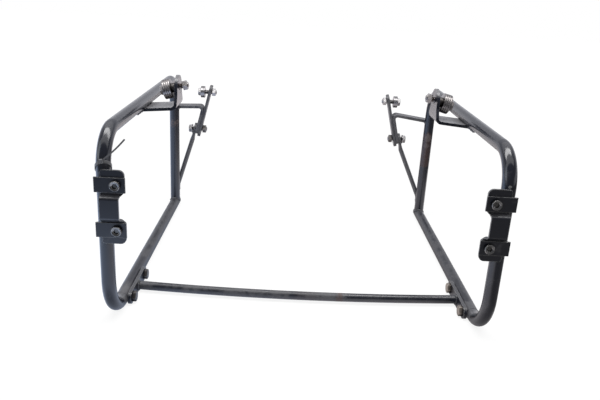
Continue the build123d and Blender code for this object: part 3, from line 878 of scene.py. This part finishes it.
def washer_stack(points, along, across):
    """Skins of all the washers among a node's CAD points: where the sorted stations jump, a
    new face begins, and each two faces are one washer."""
    axes = np.array([along, across, np.cross(along, across)], float)
    reach = points @ axes.T
    middle = (reach.min(0) + reach.max(0))[1:] / 2
    radii = np.linalg.norm(reach[:, 1:] - middle, axis=1)
    order = np.sort(reach[:, 0])
    ends = order[np.concatenate([[True], np.diff(order) > same_station])]
    seats = [(np.array([low, *middle]) @ axes, high - low) for low, high in ends.reshape(-1, 2)]
    return [washer(seat, along, across, radii.min(), radii.max(), thick) for seat, thick in seats]


# %% Washers
stacks = {
    "ear_washers": ("ear_bolt", ear_zinc),
    "strap_upper_washers": ("strap_upper_bolt", zinc),
    "strap_lower_washer": ("strap_lower_bolt", zinc),
}
for hand, sign in hands:
    for kind, (carrier, finish) in stacks.items():
        along = np.array(loose[carrier][0]) * (sign, 1, 1)
        skins = washer_stack(cad_points(f"{hand}_{kind}"), along, (0, 1, 0))
        made = add_piece(f"{hand}_{kind}_round", skins, finish, crease=60.0)
        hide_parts(f"{hand}_{kind}")
        print(made.name, len(skins), "washers")

# %% [markdown]
# ## Light and floor
#
# Glossy black paint shows little but reflections, so the room is built for what the tubes
# mirror. A long softbox hangs over the frame and draws the highlights on the bends. The
# floor and the horizon behind the frame are white, and the rest of the room is dim, also on
# the camera's side, which gives the uprights their dark cores. Right under the hoops the
# mirrored floor is darker, as it is in their shade. Only mirror rays tell these parts of the
# room apart: the camera sees plain white, and the light on the frame is even.

# %% Kinds of rays
def ray_kinds(tree):
    """Two values: 1 for rays that look at the background directly, and 1 for mirror rays."""
    path = wire(tree, "ShaderNodeLightPath").outputs
    seen = plus(tree, path["Is Camera Ray"], path["Is Transmission Ray"], clamp=True)
    return seen, path["Is Glossy Ray"]


def by_ray(tree, seen, seen_level, mirror, mirror_level, light_level):
    """The level of the background for each kind of ray: the light's own level, moved to the
    seen level for rays that see it and to the mirror level for mirror rays."""
    level = plus(tree, light_level, times(tree, seen, seen_level - light_level))
    change = minus(tree, mirror_level, light_level)
    return plus(tree, level, times(tree, mirror, change))


# %% World
white_tint = (1, 1, 1, 1)
cool_tint = (0.97, 0.98, 1.05, 1)
wall_dim, wall_rise = 0.24, 0.32
room_light = 0.30
world = bpy.data.worlds.new("room")
world.use_nodes = True
tree = world.node_tree
tree.nodes.clear()
output = wire(tree, "ShaderNodeOutputWorld")
toward = wire(tree, "ShaderNodeTexCoord").outputs["Generated"]
aim = split(tree, toward)
wall = plus(tree, wall_dim, times(tree, step_between(tree, aim["Y"], -0.2, 0.7), wall_rise))
horizon = step_between(tree, aim["Z"], 0.32, 0.18)
horizon = times(tree, horizon, step_between(tree, aim["Y"], -0.85, -0.25))
mirrored = plus(tree, wall, times(tree, horizon, minus(tree, 1.0, wall)))
seen, mirror = ray_kinds(tree)
strength = by_ray(tree, seen, 1.0, mirror, mirrored, room_light)
tint = blend(tree, mirror, white_tint, cool_tint)
sky = wire(tree, "ShaderNodeBackground", {"Color": tint, "Strength": strength})
tree.links.new(sky.outputs[0], output.inputs[0])
scene.world = world
print("world:", world.name)

# %% Shades of the mirrored floor
floor_white, tree, output = new_material("floor_white")
place = own_place(tree)
spot = split(tree, place)
slant = minus(tree, spot["X"], times(tree, spot["Y"], 0.55))
far_right = step_between(tree, slant, 0.31, 0.48)
dim = larger(tree, far_right, step_between(tree, spot["Y"], -0.52, -0.75))
sheet = minus(tree, 1.0, times(tree, dim, 0.9))
# Painted shadow: the mirrored floor is darkened right under the hoops
beside = minus(tree, calc(tree, "ABSOLUTE", spot["X"]), side_x)
under = step_between(tree, calc(tree, "ABSOLUTE", beside), 0.070, 0.012)
under = times(tree, under, step_between(tree, spot["Y"], -0.36, -0.25))
sheet = times(tree, sheet, minus(tree, 1.0, times(tree, under, 0.6)))
ahead = plus(tree, spot["X"], times(tree, larger(tree, spot["Y"], 0.0), 0.5))
warmth = step_between(tree, ahead, -0.45, 0.25)
print("floor shades:", len(tree.nodes), "nodes")

# %% Floor
floor_grey = (0.17, 0.17, 0.17, 1)
cool_cast = (1.00, 1.24, 1.72, 1)
warm_cast = (1.12, 1.06, 1.10, 1)
white_near, white_rise = 0.87, 0.12
floor_light = 0.45
half = 6.0
grey = wire(tree, "ShaderNodeBsdfDiffuse", {"Color": floor_grey})
away = step_between(tree, measure(tree, "LENGTH", place), 0.4, 1.5)
white = plus(tree, white_near, times(tree, away, white_rise))
seen, mirror = ray_kinds(tree)
shown = by_ray(tree, seen, 1.0, mirror, sheet, floor_light)
cast = blend(tree, mirror, white_tint, blend(tree, warmth, cool_cast, warm_cast))
sockets = {"Color": cast, "Strength": times(tree, white, shown)}
glow = wire(tree, "ShaderNodeEmission", sockets)
both = wire(tree, "ShaderNodeAddShader", {0: grey.outputs[0], 1: glow.outputs[0]})
tree.links.new(both.outputs[0], output.inputs[0])
mesh = bpy.data.meshes.new("floor")
corners = [(-half, -half, 0), (half, -half, 0), (half, half, 0), (-half, half, 0)]
mesh.from_pydata(corners, [], [(0, 1, 2, 3)])
mesh.materials.append(floor_white)
floor = bpy.data.objects.new("floor", mesh)
scene.collection.objects.link(floor)
print("floor:", 2 * half, "m")

# %% Softboxes
def softbox(name, place, aim, wide, deep, watts, colour=(1, 1, 1)):
    """A soft rectangular light at a place, turned to face the aim."""
    lamp = bpy.data.lights.new(name, "AREA")
    lamp.shape = "RECTANGLE"
    lamp.size, lamp.size_y = wide, deep
    lamp.energy = watts
    lamp.color = colour
    made = bpy.data.objects.new(name, lamp)
    made.location = place
    made.rotation_mode = "QUATERNION"
    made.rotation_quaternion = (Vector(place) - Vector(aim)).to_track_quat("Z", "Y")
    scene.collection.objects.link(made)


sky_blue = (0.82, 0.91, 1.0)
softbox("overhead", (0.0, -0.10, 0.95), (0.0, -0.10, 0.0), wide=1.2, deep=0.28, watts=7.4)
softbox("near", (0.0, -0.44, 0.95), (0.0, -0.40, 0.0), wide=2.0, deep=0.34, watts=2.4)
softbox("behind", (0.0, 0.42, 1.05), (0.0, 0.25, 0.0), wide=2.0, deep=0.5, watts=2.0)
softbox(
    "left_fill", (-1.3, -0.5, 0.7), (0.0, 0.0, 0.1), wide=0.7, deep=0.7, watts=2.5, colour=sky_blue
)
